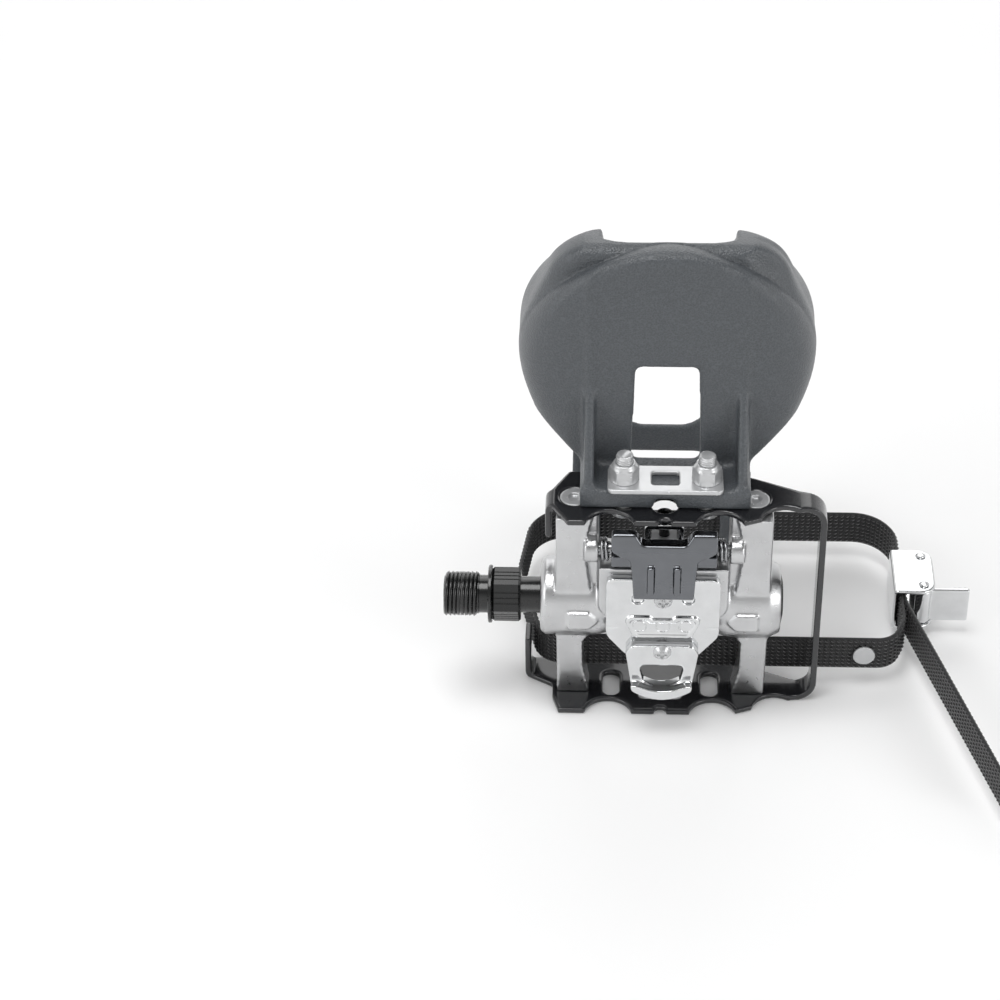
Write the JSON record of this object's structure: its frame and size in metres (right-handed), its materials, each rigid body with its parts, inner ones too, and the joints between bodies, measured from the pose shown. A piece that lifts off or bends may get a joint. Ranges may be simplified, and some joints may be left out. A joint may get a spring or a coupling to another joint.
{
  "type": "bicycle pedal",
  "caption": "Dual-sided bicycle pedal: sprung cleat binding on one face, toe clip with webbing strap and cam buckle on the other, on a ball-bearing spindle.",
  "frame": {"origin": "middle of the crank thread, on the spindle axis", "axes": "+X outboard along the spindle, +Z towards the toe, -Y out of the cleat face; it stands on the heel plate"},
  "size_m": [0.1731, 0.1363, 0.1605],
  "materials": {
    "cast_aluminium": "satin die casting",
    "black_cap": "moulded",
    "cage_enamel": "gloss enamel",
    "black_oxide": "blackened steel",
    "bright_chrome": "polished plating",
    "dark_chrome": "dark plating",
    "zinc_steel": "zinc plated",
    "spring_steel": "oiled",
    "bearing_steel": "ground",
    "clip_plastic": "grained moulding",
    "webbing": "woven nylon",
    "seal_rubber": "moulded"
  },
  "bodies": {
    "pedal": {"pedal_body": "cast_aluminium", "dust_cap": "black_cap", "cage": "cage_enamel", "binding_plate": "bright_chrome", "front_claw": "bright_chrome", "tension_bracket": "bright_chrome", "buckle_frame": "bright_chrome", "buckle_pins": "bright_chrome", "clip_backing_plate": "zinc_steel", "clip_bolts": "zinc_steel", "clip_nuts": "zinc_steel", "binding_screws": "zinc_steel", "strap_rivet": "zinc_steel", "cage_screws": "zinc_steel", "inboard_spring": "spring_steel", "outboard_spring": "spring_steel", "jaw_pin": "spring_steel", "toe_clip": "clip_plastic", "toe_strap": "webbing", "inner_seal": "seal_rubber"},
    "spindle": {"spindle": "black_oxide", "outer_cone": "bearing_steel", "lock_washer": "bearing_steel", "lock_nut": "bearing_steel"},
    "inner_ball_row": {"inner_balls": "bearing_steel"},
    "outer_ball_row": {"outer_balls": "bearing_steel"},
    "jaw": {"rear_jaw": "dark_chrome"},
    "tension_screw": {"tension_screw": "black_oxide"},
    "tension_nut": {"tension_nut": "zinc_steel"},
    "buckle_lever": {"buckle_lever": "bright_chrome"},
    "buckle_roller": {"buckle_roller": "bright_chrome"}
  },
  "joints": [
    {"name": "spindle_spin", "type": "hinge", "parent": "pedal", "child": "spindle", "pos_m": [0, 0, 0], "axis": [1, 0, 0], "continuous": true},
    {"name": "inner_row_roll", "type": "hinge", "parent": "pedal", "child": "inner_ball_row", "pos_m": [0, 0, 0], "axis": [1, 0, 0], "continuous": true},
    {"name": "outer_row_roll", "type": "hinge", "parent": "pedal", "child": "outer_ball_row", "pos_m": [0, 0, 0], "axis": [1, 0, 0], "continuous": true},
    {"name": "jaw_open", "type": "hinge", "parent": "pedal", "child": "jaw", "pos_m": [0.0632, -0.0086, 0.026], "axis": [-1, 0, 0], "range_deg": [0, 12], "stiffness_Nm_per_rad": 4, "springref_deg": -5.73},
    {"name": "tension_turn", "type": "hinge", "parent": "pedal", "child": "tension_screw", "pos_m": [0.0632, -0.0034, 0.03], "axis": [0, 0, 1], "range_deg": [-540, 540]},
    {"name": "tension_nut_slide", "type": "slide", "parent": "pedal", "child": "tension_nut", "axis": [0, 0, 1], "range_m": [-0.0012, 0.0012]},
    {"name": "lever_lift", "type": "hinge", "parent": "pedal", "child": "buckle_lever", "pos_m": [0.1493, 0.03095, -0.0275], "axis": [0, 0, -1], "range_deg": [0, 75]},
    {"name": "roller_spin", "type": "hinge", "parent": "pedal", "child": "buckle_roller", "pos_m": [0.1493, 0.04575, -0.0275], "axis": [0, 0, 1], "continuous": true}
  ],
  "couplings": [
    {"joint": "inner_row_roll", "follows": "spindle_spin", "ratio": 0.3647},
    {"joint": "outer_row_roll", "follows": "spindle_spin", "ratio": 0.3504},
    {"joint": "tension_nut_slide", "follows": "tension_turn", "m_per_rad": 0.000111}
  ]
}
